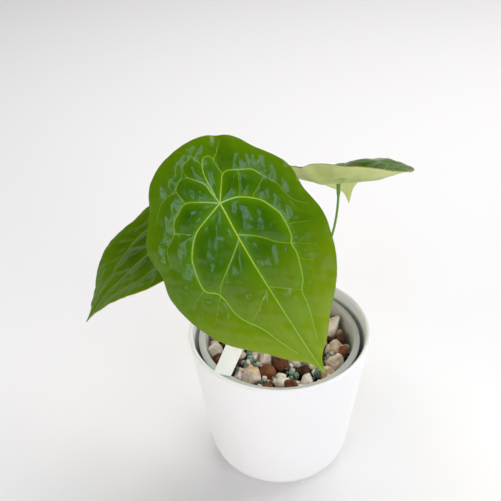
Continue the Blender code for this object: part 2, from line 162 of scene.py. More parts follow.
def rounded_path(corners, steps):
    """Points along (radius, height, rounding) corners, with each rounding as an arc."""
    path = []
    for index, (x, z, rounding) in enumerate(corners):
        here = Vector((x, z))
        if rounding <= 0 or index in (0, len(corners) - 1):
            path.append(here)
            continue
        before = (Vector(corners[index - 1][:2]) - here).normalized()
        after = (Vector(corners[index + 1][:2]) - here).normalized()
        half = before.angle(after) / 2
        centre = here + (before + after).normalized() * rounding / math.sin(half)
        start = here + before * rounding / math.tan(half) - centre
        end = here + after * rounding / math.tan(half) - centre
        sweep_angle = start.angle_signed(end)
        for step in range(steps + 1):
            path.append(centre + Matrix.Rotation(-sweep_angle * step / steps, 2) @ start)
    return path


def add_piece(name, verts, faces, materials, replaced=(), smooth_angle=40):
    """A named mesh object that rides on the pot's body and hides the frame parts that it stands in for."""
    mesh = bpy.data.meshes.new(name)
    mesh.from_pydata(verts, [], faces)
    mesh.validate()
    mesh.shade_smooth()
    mesh.set_sharp_from_angle(angle=math.radians(smooth_angle))
    for surface in materials:
        mesh.materials.append(surface)
    piece = bpy.data.objects.new(name, mesh)
    bpy.context.scene.collection.objects.link(piece)
    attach(piece, "root")
    if replaced:
        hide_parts(*replaced)
    return piece


def turned(name, corners, turns, steps, material, replaced):
    """A solid turned about Z from a profile that starts and ends on the axis."""
    path = rounded_path(corners, steps)
    verts = [(0, 0, path[0].y), (0, 0, path[-1].y)]
    for point in path[1:-1]:
        for turn in range(turns):
            angle = math.tau * turn / turns
            verts.append((point.x * math.cos(angle), point.x * math.sin(angle), point.y))
    rows = len(path) - 2
    faces = []
    for turn in range(turns):
        after = (turn + 1) % turns
        faces.append((0, 2 + after, 2 + turn))
        last = 2 + (rows - 1) * turns
        faces.append((1, last + turn, last + after))
        for row in range(rows - 1):
            low, high = 2 + row * turns, 2 + (row + 1) * turns
            faces.append((low + turn, low + after, high + after, high + turn))
    return add_piece(name, verts, faces, [material], replaced)


# Moulded polypropylene: an even white with a soft, wide sheen and no sharp reflections
white_plastic, tree, shader = new_material("white_polypropylene_matt", Roughness=0.42, IOR=1.49)
place = add_node(tree, "TexCoord").outputs["Object"]
# Faint warm and cool unevenness of the moulding, a few centimetres across
cloud = add_node(tree, "TexNoise", {"Vector": place, "Scale": 28.0, "Detail": 3.0})
tint = add_node(tree, "Mix", {0: cloud.outputs["Fac"], 6: linear("#f1f1f1"), 7: linear("#f7f7f8")},
                data_type="RGBA")
tree.links.new(tint.outputs[2], shader.inputs["Base Color"])
# The mould's fine matt grain, 0.4 mm across: drawn coarser than real so that it shows
grain = add_node(tree, "TexNoise", {"Vector": place, "Scale": 1 / (0.4 * MM), "Detail": 2.0})
bump = add_node(tree, "Bump", {"Height": grain.outputs["Fac"], "Strength": 0.06, "Distance": 0.2 * MM})
tree.links.new(bump.outputs["Normal"], shader.inputs["Normal"])


def pot_outer(height):
    return POT_FOOT + (POT_RIM - POT_FOOT) * height / POT_HEIGHT


turned("cover_pot", (
    (0, 0, 0),
    (POT_FOOT, 0, POT_CORNER),
    (POT_RIM, POT_HEIGHT, POT_LIP),
    (POT_RIM - POT_WALL, POT_HEIGHT, POT_LIP),
    (pot_outer(POT_FLOOR) - POT_WALL, POT_FLOOR, POT_CORNER - POT_WALL),
    (0, POT_FLOOR, 0),
), 180, 12, white_plastic, ("outer_pot",))


# ------------------------------------------------------------------ liner pot
# The grower's pot inside: thin light grey moulded plastic with a flat rolled rim a few
# millimetres below the cover pot's own. Its floor is drawn whole, without the drain holes.

LINER_DROP = 6.5 * MM
LINER_PLAY = 3.4 * MM
FLOOR_GAP = 0.3 * MM
LINER_CORNER = 16 * MM
INNER_CORNER = 14 * MM
RIM_ROUNDING = 1.2 * MM
RIM_UNDERSIDE_ROUNDING = 0.8 * MM
LINER_TOP = POT_HEIGHT - LINER_DROP
LINER_FOOT = POT_FLOOR + FLOOR_GAP
RIM_OUTER = pot_outer(LINER_TOP) - POT_WALL - LINER_PLAY
RIM_WIDTH = 4.5 * MM
RIM_INNER = RIM_OUTER - RIM_WIDTH
RIM_DEPTH = 3 * MM
LINER_FOOT_PLAY = 4.8 * MM
LINER_WALL = 1.5 * MM
LINER_FLOOR = 2 * MM
FOOT_INNER = pot_outer(LINER_FOOT) - POT_WALL - LINER_FOOT_PLAY - LINER_WALL


def liner_inner(height):
    return RIM_INNER + (FOOT_INNER - RIM_INNER) * (LINER_TOP - height) / (LINER_TOP - LINER_FOOT)


# Grey moulded polypropylene: duller than the cover pot, with a film of dust from the mix
grey_plastic, tree, shader = new_material("grey_polypropylene", Roughness=0.5, IOR=1.49)
place = add_node(tree, "TexCoord").outputs["Object"]
dust = add_node(tree, "TexNoise", {"Vector": place, "Scale": 90.0, "Detail": 5.0, "Roughness": 0.6})
tint = add_node(tree, "Mix", {0: dust.outputs["Fac"], 6: linear("#b6b6b3"), 7: linear("#cfcecb")},
                data_type="RGBA")
tree.links.new(tint.outputs[2], shader.inputs["Base Color"])
bump = add_node(tree, "Bump", {"Height": dust.outputs["Fac"], "Strength": 0.1, "Distance": 0.3 * MM})
tree.links.new(bump.outputs["Normal"], shader.inputs["Normal"])

turned("liner", (
    (0, LINER_FOOT, 0),
    (liner_inner(LINER_FOOT) + LINER_WALL, LINER_FOOT, LINER_CORNER),
    (liner_inner(LINER_TOP - RIM_DEPTH) + LINER_WALL, LINER_TOP - RIM_DEPTH, 0),
    (RIM_OUTER, LINER_TOP - RIM_DEPTH, RIM_UNDERSIDE_ROUNDING),
    (RIM_OUTER, LINER_TOP, RIM_ROUNDING),
    (RIM_INNER, LINER_TOP, RIM_ROUNDING),
    (liner_inner(LINER_FOOT + LINER_FLOOR), LINER_FOOT + LINER_FLOOR, INNER_CORNER),
    (0, LINER_FOOT + LINER_FLOOR, 0),
), 160, 8, grey_plastic, ("liner_pot",))


# ------------------------------------------------------------------ mineral mix
# A soil-free mix: fired clay balls, craggy pumice and small green zeolite chips. The larger
# pieces lie where the frame has them; smaller ones are dropped into the gaps between them.

BED_DROP = 24.5 * MM
BED_TOP = POT_HEIGHT - BED_DROP
dice = random.Random(11)
rolls = np.random.default_rng(11)


def lump(centre, radius, kind, level):
    """One stone: a ball cut by soft facets, then roughened; returns its points and faces."""
    facets, sharpness, low, rough, grain_size, fill = {
        "leca_ball": (14, 5, 0.92, 0.04, 3.5, 1.1),
        "pumice": (9, 11, 0.66, 0.10, 3.6, 1.36),
        "zeolite_chip": (8, 16, 0.62, 0.06, 3.0, 1.15),
    }[kind]
    bm = bmesh.new()
    bmesh.ops.create_icosphere(bm, subdivisions=level, radius=1)
    ways = np.array([vert.co for vert in bm.verts])
    faces = [[vert.index for vert in face.verts] for face in bm.faces]
    bm.free()
    cuts = rolls.normal(size=(facets, 3))
    cuts /= np.linalg.norm(cuts, axis=1)[:, None]
    heights = rolls.uniform(low, 1.0, facets)
    press = np.clip(ways @ cuts.T, 0, None) / heights
    reach = (np.sum(press ** sharpness, axis=1) + 1e-3) ** (-1 / sharpness)
    reach = np.clip(reach, 0.5, 1.12)
    shift = Vector(rolls.uniform(-50, 50, 3))
    scale = 1 / (grain_size * MM)
    for index, way in enumerate(ways):
        spot = Vector(way) * radius * scale * reach[index] + shift
        value = noise.fractal(spot, 1.0, 2.1, 3)
        if kind == "pumice":
            value = value * 0.8 + abs(noise.noise(spot * 0.6)) * 0.9 - 0.3
        reach[index] += rough * value
    stretch = np.array([1.0, rolls.uniform(0.9, 1.0), rolls.uniform(0.86, 0.97)])
    if kind == "pumice":
        stretch = np.array([1.12, rolls.uniform(0.8, 0.98), rolls.uniform(0.76, 0.9)])
    turn = np.array(Euler(rolls.uniform(0, math.tau, 3)).to_matrix())
    points = (ways * reach[:, None] * stretch) @ turn.T
    points *= fill * radius / (np.ptp(points, axis=0).mean() / 2)
    return points + np.array(centre), faces


def add_tone(piece, tones):
    """Store a light-or-dark value on each point, for colour that differs stone by stone."""
    layer = piece.data.attributes.new("tone", "FLOAT", "POINT")
    layer.data.foreach_set("value", np.asarray(tones, dtype=np.float32))


# Fired clay: burnt red-brown skin, dusty on high spots, with fine open pores
clay, tree, shader = new_material("fired_clay_skin", Roughness=0.86, IOR=1.5)
place = add_node(tree, "TexCoord").outputs["Object"]
tone = add_node(tree, "Attribute", attribute_name="tone")
mottle = add_node(tree, "TexNoise", {"Vector": place, "Scale": 1 / (3 * MM), "Detail": 6.0,
                                     "Roughness": 0.65})
shade = add_node(tree, "Math", {0: mottle.outputs["Fac"], 1: tone.outputs["Fac"]}, operation="ADD")
shade = add_node(tree, "ValToRGB", {"Fac": shade.outputs[0]}, stops=(
    (0.28, linear("#3a2013")), (0.52, linear("#70422a")), (0.80, linear("#985f3e"))))
tree.links.new(shade.outputs["Color"], shader.inputs["Base Color"])
pores = add_node(tree, "TexVoronoi", {"Vector": place, "Scale": 1 / (0.9 * MM)})
height = add_node(tree, "Math", {0: pores.outputs["Distance"], 1: mottle.outputs["Fac"]}, operation="ADD")
bump = add_node(tree, "Bump", {"Height": height.outputs[0], "Strength": 0.45, "Distance": 0.4 * MM})
tree.links.new(bump.outputs["Normal"], shader.inputs["Normal"])

# Pumice: cream volcanic froth, stained tan by watering, with pores from pinholes to 1 mm
pumice, tree, shader = new_material("pumice_froth", Roughness=0.92, IOR=1.5)
place = add_node(tree, "TexCoord").outputs["Object"]
tone = add_node(tree, "Attribute", attribute_name="tone")
stain = add_node(tree, "TexNoise", {"Vector": place, "Scale": 1 / (7 * MM), "Detail": 4.0, "Roughness": 0.6})
level = add_node(tree, "Math", {0: stain.outputs["Fac"], 1: tone.outputs["Fac"]}, operation="ADD")
shade = add_node(tree, "ValToRGB", {"Fac": level.outputs[0]}, stops=(
    (0.28, linear("#c59d74")), (0.44, linear("#ecdccb")), (0.72, linear("#fbf3ea"))))
# Painted shade: each pore is coloured darker towards its middle, where the bump sinks, for the shade inside
# the holes
pores = add_node(tree, "TexVoronoi", {"Vector": place, "Scale": 1 / (1.3 * MM)})
painted_pore_shade = add_node(tree, "ValToRGB", {"Fac": pores.outputs["Distance"]}, stops=(
    (0.05, linear("#9c8469")), (0.26, linear("#ffffff"))))
tinted = add_node(tree, "Mix", {0: 0.3, 6: shade.outputs["Color"], 7: painted_pore_shade.outputs["Color"]},
                  data_type="RGBA", blend_type="MULTIPLY")
tree.links.new(tinted.outputs[2], shader.inputs["Base Color"])
rough = add_node(tree, "TexNoise", {"Vector": place, "Scale": 1 / (1.2 * MM), "Detail": 5.0})
height = add_node(tree, "Math", {0: pores.outputs["Distance"], 1: rough.outputs["Fac"]}, operation="ADD")
bump = add_node(tree, "Bump", {"Height": height.outputs[0], "Strength": 0.5, "Distance": 0.5 * MM})
tree.links.new(bump.outputs["Normal"], shader.inputs["Normal"])

# Zeolite: broken green mineral, blue-green where fresh and grey-green where weathered
zeolite, tree, shader = new_material("zeolite_chip", Roughness=0.75, IOR=1.5)
place = add_node(tree, "TexCoord").outputs["Object"]
tone = add_node(tree, "Attribute", attribute_name="tone")
vary = add_node(tree, "TexNoise", {"Vector": place, "Scale": 1 / (2.5 * MM), "Detail": 5.0})
level = add_node(tree, "Math", {0: vary.outputs["Fac"], 1: tone.outputs["Fac"]}, operation="ADD")
shade = add_node(tree, "ValToRGB", {"Fac": level.outputs[0]}, stops=(
    (0.26, linear("#46594e")), (0.46, linear("#7a9486")), (0.70, linear("#a9c6b5"))))
tree.links.new(shade.outputs["Color"], shader.inputs["Base Color"])
bump = add_node(tree, "Bump", {"Height": vary.outputs["Fac"], "Strength": 0.4, "Distance": 0.4 * MM})
tree.links.new(bump.outputs["Normal"], shader.inputs["Normal"])

# The bed below: the same mix coloured as painted shade, dark brown on its grains and near black in the gaps
# between them
dark_mix, tree, shader = new_material("mix_in_painted_shade", Roughness=0.9)
place = add_node(tree, "TexCoord").outputs["Object"]
speck = add_node(tree, "TexVoronoi", {"Vector": place, "Scale": 1 / (3.5 * MM)})
shade = add_node(tree, "ValToRGB", {"Fac": speck.outputs["Distance"]}, stops=(
    (0.2, linear("#3a2a20")), (0.7, linear("#120c09"))))
tree.links.new(shade.outputs["Color"], shader.inputs["Base Color"])
bump = add_node(tree, "Bump", {"Height": speck.outputs["Distance"], "Strength": 1.0, "Distance": 1.5 * MM})
bump.invert = True
tree.links.new(bump.outputs["Normal"], shader.inputs["Normal"])
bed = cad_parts["substrate_bed"]
for slot in bed.material_slots:
    slot.material = dark_mix

STONES = {
    "leca_ball": (clay, "fired_clay"),
    "pumice": (pumice, "pumice"),
    "zeolite_chip": (zeolite, "zeolite"),
}
PROUD = 0.12                                  # share of its radius that a large stone is raised
placed = []
for node in sorted(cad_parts):
    kind = node.rsplit("_", 1)[0]
    if kind not in STONES:
        continue
    low, high = (np.array(corner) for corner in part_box(node))
    radius = float(np.max(high - low)) / 2
    centre = (low + high) / 2
    placed.append((*centre, radius))
    points, faces = lump(centre + (0, 0, PROUD * radius), radius, kind, 5)
    piece = add_piece("stone_" + node, points.tolist(), faces, [STONES[kind][0]],
                      (node,), smooth_angle=60)
    add_tone(piece, [rolls.uniform(-0.14, 0.18)] * len(points))

# Fill the gaps: each small piece falls straight down onto the bed or its neighbours, and is
# kept if it comes to rest below the surface level
SURFACE = LINER_TOP - 6.5 * MM
CROWN_CLEAR = 8.5 * MM                        # kept free around the crown
TRIES = 6000
NESTLE = 0.93                                 # touching stones settle into each other's hollows
SMALL_RADII = {"leca_ball": (1.6, 4.2), "pumice": (1.2, 4.2), "zeolite_chip": (1.0, 2.3)}
SHARES = (3, 6, 1.5)                          # clay, pumice and zeolite among the small stones
balls = np.array(placed)
large = len(balls)
BATCH = 120                                   # stones joined into one piece
gathered = {kind: [] for kind in STONES}
for _ in range(TRIES):
    kind = dice.choices(list(STONES), SHARES)[0]
    radius = dice.uniform(*SMALL_RADII[kind]) * MM
    out = math.sqrt(dice.random()) * (liner_inner(BED_TOP) - radius)
    angle = dice.uniform(0, math.tau)
    x, y = out * math.cos(angle), out * math.sin(angle)
    if out < CROWN_CLEAR + radius:
        continue
    flat = np.hypot(balls[:, 0] - x, balls[:, 1] - y)
    near = flat < (balls[:, 3] + radius) * NESTLE
    rest = BED_TOP + radius * 0.8
    if near.any():
        span = (balls[near, 3] + radius) * NESTLE
        rest = max(rest, float(np.max(balls[near, 2] + np.sqrt(span ** 2 - flat[near] ** 2))))
    beside = flat[:large] < balls[:large, 3] + radius * 0.6
    if beside.any() and rest > np.min(balls[:large, 2][beside]):
        continue
    if rest + radius > SURFACE + dice.uniform(-4, 0) * MM:
        continue
    balls = np.vstack([balls, (x, y, rest, radius)])
    gathered[kind].append((*lump((x, y, rest), radius * 0.9, kind, 3), dice.uniform(-0.16, 0.2)))
for kind, stones in gathered.items():
    for start in range(0, len(stones), BATCH):
        batch = stones[start:start + BATCH]
        verts, faces, tones = [], [], []
        for points, triangles, tone_value in batch:
            faces.extend([[index + len(verts) for index in triangle] for triangle in triangles])
            verts.extend(points.tolist())
            tones.extend([tone_value] * len(points))
        piece = add_piece(f"small_{kind}s_{start // BATCH + 1}", verts, faces, [STONES[kind][0]],
                          smooth_angle=60)
        add_tone(piece, tones)


# ------------------------------------------------------------------ leaf blades
# Each leaf is a shield-shaped blade on a stalk that joins it away from the edge. Living
# tissue: a waxy, glossy upper side quilted between sunken pale veins, a duller and lighter
# underside with raised veins, and a thin golden edge.

BLADE_THICKNESS = 0.6 * MM
BOW_REACH = 60 * MM
BOW_POWERS = ((2, 0), (1, 1), (0, 2), (3, 0), (2, 1), (1, 2), (0, 3), (1, 3))
OUTLINE = (
    (0, 1.000), (2, 0.925), (6.5, 0.869), (15, 0.775), (29, 0.689), (43, 0.604), (57, 0.525),
    (70, 0.447), (89, 0.418), (106, 0.369), (120, 0.352), (140, 0.369), (180, 0.365),
)

# Veins as the real leaf has them: strength, and points as (bearing from the tip in degrees,
# share of the way from stalk to margin). Negative bearings are the blade's right half.
VEINS = (
    (1.00, ((0, 0.0), (-3, 0.22), (-2, 0.44), (-1, 0.67), (-0.5, 0.86), (0, 1.0))),
    (0.85, ((-61, 0.0), (-70, 0.25), (-68, 0.42), (-58, 0.55), (-51, 0.61), (-40, 0.70), (-30, 0.67),
            (-21, 0.78), (-12, 0.83), (-8, 0.88), (-4, 0.95))),
    (0.60, ((-5, 0.24), (-16, 0.35), (-24, 0.47), (-29, 0.59), (-30, 0.67))),
    (0.75, ((-115, 0.0), (-126, 0.23), (-123, 0.48), (-110, 0.57), (-99, 0.62), (-88, 0.62))),
    (0.35, ((-88, 0.62), (-83, 0.70), (-79, 0.79), (-68, 0.85))),
    (0.45, ((-88, 0.62), (-70, 0.44))),
    (0.45, ((-123, 0.48), (-138, 0.61), (-145, 0.64), (-154, 0.64), (-161, 0.58))),
    (0.75, ((-165, 0.0), (-172, 0.21), (-172, 0.36), (-161, 0.58))),
    (0.30, ((-138, 0.61), (-131, 0.73), (-122, 0.83), (-112, 0.87), (-103, 0.87))),
    (0.65, ((-178, 0.12), (-181, 0.42), (-186, 0.60), (-191, 0.69), (-198, 0.70), (-203, 0.65))),
    (0.35, ((-186, 0.60), (-180, 0.77), (-182, 0.86))),
    (0.30, ((-180, 0.77), (-169, 0.75), (-163, 0.67), (-161, 0.58))),
    (0.80, ((147, 0.0), (145, 0.26), (144, 0.41), (137, 0.48), (122, 0.56), (107, 0.66), (96, 0.66))),
    (0.40, ((96, 0.66), (86, 0.68), (78, 0.74), (68, 0.76), (62, 0.80), (60, 0.89))),
    (0.50, ((144, 0.43), (152, 0.51), (157, 0.64), (153, 0.75), (149, 0.93))),
    (0.35, ((120, 0.56), (106, 0.40), (82, 0.26))),
    (0.85, ((61, 0.0), (80, 0.15), (76, 0.26), (65, 0.44), (55, 0.51), (49, 0.56), (36, 0.61), (30, 0.61),
            (26, 0.66), (17, 0.74), (12, 0.75), (9, 0.83), (4, 0.94))),
    (0.60, ((-2, 0.20), (12, 0.28), (21, 0.39), (25, 0.49), (30, 0.61))),
    (0.35, ((72, 0.40), (83, 0.51), (89, 0.61))),
    (0.30, ((43, 0.61), (49, 0.83))),
    (0.30, ((31, 0.62), (36, 0.80))),
    (0.30, ((24, 0.67), (28, 0.80))),
    (0.45, ((-1, 0.51), (5, 0.60), (12, 0.74))),
    (0.45, ((-3, 0.55), (-9, 0.65), (-15, 0.79))),
    (0.30, ((-40, 0.70), (-43, 0.80), (-44, 0.90))),
    (0.30, ((-30, 0.68), (-32, 0.86))),
)
CLEAR_VEIN = 0.55                             # veins at least this strong are drawn sharp


def smooth_value(stations, at):
    """Read a smooth curve through (position, value) stations, for an array of positions."""
    x, y = np.array(stations).T
    slopes = np.zeros(len(x))
    slopes[1:-1] = (y[2:] - y[:-2]) / (x[2:] - x[:-2])
    slopes[0] = (y[1] - y[0]) / (x[1] - x[0])
    index = np.clip(np.searchsorted(x, at, side="right") - 1, 0, len(x) - 2)
    width = x[index + 1] - x[index]
    t = (at - x[index]) / width
    rise = y[index + 1] - y[index]
    return (y[index] + rise * (3 * t ** 2 - 2 * t ** 3) + slopes[index] * width * (t - 2 * t ** 2 + t ** 3)
            + slopes[index + 1] * width * (t ** 3 - t ** 2))


def through(points, spacing):
    """A smooth curve through points in the plane, as points at an even spacing."""
    points = np.array(points)
    ends = np.vstack([2 * points[0] - points[1], points, 2 * points[-1] - points[-2]])
    curve = []
    for a, b, c, d in zip(ends, ends[1:], ends[2:], ends[3:]):
        count = max(2, int(np.linalg.norm(c - b) / spacing))
        t = np.linspace(0, 1, count, endpoint=False)[:, None]
        curve.append(0.5 * (2 * b + (c - a) * t + (2 * a - 5 * b + 4 * c - d) * t ** 2
                            + (3 * b - a - 3 * c + d) * t ** 3))
    curve.append(points[-1:])
    return np.vstack(curve)


class Blade:
    """One blade's place, bow and veins, in the same terms as the frame's own leaves."""

    def __init__(self, hub, heading, droop, roll, length, widths, bow, mirrored=False):
        heading, droop, roll = (math.radians(angle) for angle in (heading, droop, roll))
        along = np.array([math.cos(heading) * math.cos(droop), math.sin(heading) * math.cos(droop),
                          -math.sin(droop)])
        across = np.array([-math.sin(heading), math.cos(heading), 0])
        up = np.cross(along, across)
        self.along = along
        self.across = across * math.cos(roll) + up * math.sin(roll)
        self.up = np.cross(along, self.across)
        self.hub = np.array(hub) * MM
        self.length = length * MM
        self.widths = widths
        self.bow = [height * MM for height in bow]
        self.mirrored = mirrored

    def flat(self, bearing, share):
        """Place on the flat blade, from a bearing in degrees and a share of the reach."""
        bearing = (np.asarray(bearing, float) + 180) % 360 - 180
        width = np.where(bearing > 0, *self.widths)
        reach = share * self.length * smooth_value(OUTLINE, np.abs(bearing))
        angle = np.radians(bearing)
        return np.stack([reach * np.cos(angle), reach * np.sin(angle) * width], axis=-1)

    def bowed(self, place):
        x, y = place[:, 0], place[:, 1]
        height = sum(rise * (x / BOW_REACH) ** i * (y / BOW_REACH) ** j
                     for rise, (i, j) in zip(self.bow, BOW_POWERS))
        return (self.hub + x[:, None] * self.along + y[:, None] * self.across + height[:, None] * self.up)

    def raised(self, place, height):
        """World points a given height off the bowed blade."""
        step = 0.2 * MM
        here = self.bowed(place)
        ahead = self.bowed(place + (step, 0)) - here
        aside = self.bowed(place + (0, step)) - here
        normal = np.cross(ahead, aside)
        normal /= np.linalg.norm(normal, axis=1)[:, None]
        return here + normal * np.asarray(height)[:, None]

    def vein_lines(self, clear):
        """Points, half-widths and strengths along the clear or the faint veins."""
        lines = []
        for strength, points in VEINS:
            if (strength >= CLEAR_VEIN) != clear:
                continue
            sign = -1 if self.mirrored else 1
            flat = self.flat([sign * bearing for bearing, _ in points], np.array([s for _, s in points]))
            line = through(flat, 0.6 * MM)
            run = np.linspace(0, 1, len(line))
            width = (0.24 + 0.34 * strength * (1 - 0.5 * run)) * MM
            lines.append(np.column_stack([line, width, strength * (1 - 0.35 * run)]))
        return np.vstack(lines)


def nearest_vein(place, lines):
    """For each place: the way to the nearest vein point, its distance, width and strength."""
    offset, distance, data = [], [], []
    for start in range(0, len(place), 3000):
        part = place[start:start + 3000]
        gap = lines[None, :, :2] - part[:, None, :]
        squares = (gap ** 2).sum(axis=2)
        best = squares.argmin(axis=1)
        rows = np.arange(len(part))
        offset.append(gap[rows, best])
        distance.append(np.sqrt(squares[rows, best]))
        data.append(lines[best, 2:])
    return np.vstack(offset), np.concatenate(distance), np.vstack(data)


def waves(place, size, seed):
    """Slow unevenness, -1 to 1, from a few crossed ripples of about the given size."""
    turn = np.random.default_rng(seed)
    total = np.zeros(len(place))
    for _ in range(7):
        angle = turn.uniform(0, math.tau)
        pitch = math.tau / (size * turn.uniform(0.7, 1.5))
        total += np.sin((place[:, 0] * math.cos(angle) + place[:, 1] * math.sin(angle)) * pitch
                        + turn.uniform(0, math.tau))
    return total / 4


QUILT_RISE = 1.5 * MM                         # how far the tissue puffs up between the veins
QUILT_SPREAD = 6.5 * MM
GROOVE_DEPTH = 0.35 * MM
GROOVE_REACH = 1.5 * MM
HUB_REACH = 9 * MM                            # the relief settles to nothing at the stalk
SUTURE_DEPTH = 2.4 * MM                       # the fold where the two rear lobes have grown together
SUTURE_REACH = 5 * MM


def blade_piece(name, blade, materials, node, spokes, rings, back_rings, seed):
    """The blade's mesh: a fine quilted upper face, a coarser lower one, and a round margin."""
    fine = np.linspace(-180, 180, 4001)
    margin = blade.flat(fine, 1.0)
    run = np.concatenate([[0], np.cumsum(np.linalg.norm(np.diff(margin, axis=0), axis=1))])
    bearings = np.interp(np.linspace(0, run[-1], spokes, endpoint=False), run, fine)
    clear_lines, faint_lines = blade.vein_lines(True), blade.vein_lines(False)
    suture = through(blade.flat([150, 150, 152], np.array([0.02, 0.5, 1.0])), 0.6 * MM)

    def face_points(count, side):
        shares = np.linspace(0, 1, count + 1)[1:] ** 0.9
        place = np.vstack([[(0, 0)]] + [blade.flat(bearings, share) for share in shares])
        reach = np.concatenate([[0], np.repeat(shares, spokes)])
        to_clear, clear_far, clear_data = nearest_vein(place, clear_lines)
        to_faint, faint_far, faint_data = nearest_vein(place, faint_lines)
        _, suture_far, _ = nearest_vein(place, np.column_stack([suture, suture]))
        quilt = 1 - np.exp(-(np.minimum(clear_far, faint_far * 1.4) / QUILT_SPREAD) ** 2)
        groove = clear_data[:, 1] * np.exp(-(clear_far / GROOVE_REACH) ** 2)
        groove = np.maximum(groove, faint_data[:, 1] * 0.6 * np.exp(-(faint_far / GROOVE_REACH) ** 2))
        settled = 1 - np.exp(-(np.linalg.norm(place, axis=1) / HUB_REACH) ** 2)
        relief = QUILT_RISE * quilt * (1 - reach ** 6) + 0.6 * MM * waves(place, 26 * MM, seed)
        relief += 0.25 * MM * waves(place, 8 * MM, seed + 1) * np.clip(clear_far / (4 * MM), 0, 1)
        relief -= SUTURE_DEPTH * np.exp(-(suture_far / SUTURE_REACH) ** 2) * np.clip(reach * 1.5, 0, 1)
        relief += 1.3 * MM * waves(place, 60 * MM, seed + 2) * reach ** 2
        relief *= settled
        lift = relief + side * BLADE_THICKNESS / 2 - GROOVE_DEPTH * groove
        halo = clear_data[:, 1] * np.exp(-clear_far / (3.2 * MM))
        return {
            "points": blade.raised(place, lift),
            "edge": blade.raised(place[-spokes:] * 1.0015, relief[-spokes:]),
            "place": np.column_stack([place, reach]),
            "clear_way": np.column_stack([to_clear / clear_data[:, :1], np.zeros(len(place))]),
            "clear": np.column_stack([clear_far / clear_data[:, 0], clear_data[:, 1], halo]),
            "faint_way": np.column_stack([to_faint / faint_data[:, :1], np.zeros(len(place))]),
            "faint": np.column_stack([faint_far / faint_data[:, 0], faint_data[:, 1], quilt]),
        }

    def ring_faces(count, base):
        faces = [(base, base + 1 + k, base + 1 + (k + 1) % spokes) for k in range(spokes)]
        for ring in range(count - 1):
            low = base + 1 + ring * spokes
            for k in range(spokes):
                after = (k + 1) % spokes
                faces.append((low + k, low + spokes + k, low + spokes + after, low + after))
        return faces

    top, under = face_points(rings, 1), face_points(back_rings, -1)
    top_count, under_count = len(top["points"]), len(under["points"])
    faces = ring_faces(rings, 0)
    upper_faces = len(faces)
    faces += [face[::-1] for face in ring_faces(back_rings, top_count)]
    edge = top_count + under_count
    for k in range(spokes):
        after = (k + 1) % spokes
        a, b = top_count - spokes + k, top_count - spokes + after
        c, d = edge - spokes + k, edge - spokes + after
        faces.append((a, edge + k, edge + after, b))
        faces.append((edge + k, c, d, edge + after))
    points = np.vstack([top["points"], under["points"], top["edge"]])
    piece = add_piece(name, points.tolist(), faces, materials, (node,), smooth_angle=75)
    for layer in ("place", "clear_way", "clear", "faint_way", "faint"):
        values = np.vstack([top[layer], under[layer], top[layer][-spokes:]]).astype(np.float32)
        piece.data.attributes.new(layer, "FLOAT_VECTOR", "POINT").data.foreach_set("vector", values.ravel())
    marks = np.zeros(len(faces), dtype=np.int32)
    marks[upper_faces:] = 1
    marks[-2 * spokes:] = 2
    piece.data.polygons.foreach_set("material_index", marks)
    return piece


def vein_mask(tree, way_name, data_name):
    """The sockets of a vein's drawn line (0 to 1) and of its data, from the stored offsets."""
    way = add_node(tree, "Attribute", attribute_name=way_name)
    data = add_node(tree, "Attribute", attribute_name=data_name)
    parts = add_node(tree, "SeparateXYZ", {0: data.outputs["Vector"]})
    far = add_node(tree, "VectorMath", {0: way.outputs["Vector"]}, operation="LENGTH")
    line = add_node(tree, "MapRange", {"Value": far.outputs["Value"], "From Min": 0.35, "From Max": 1.25,
                                       "To Min": 1.0, "To Max": 0.0}, interpolation_type="SMOOTHSTEP")
    close = add_node(tree, "MapRange", {"Value": parts.outputs["X"], "From Min": 2.0, "From Max": 3.5,
                                        "To Min": 1.0, "To Max": 0.0})
    both = add_node(tree, "Math", {0: line.outputs[0], 1: close.outputs[0]}, operation="MULTIPLY")
    drawn = add_node(tree, "Math", {0: both.outputs[0], 1: parts.outputs["Y"]}, operation="MULTIPLY")
    return drawn.outputs[0], parts


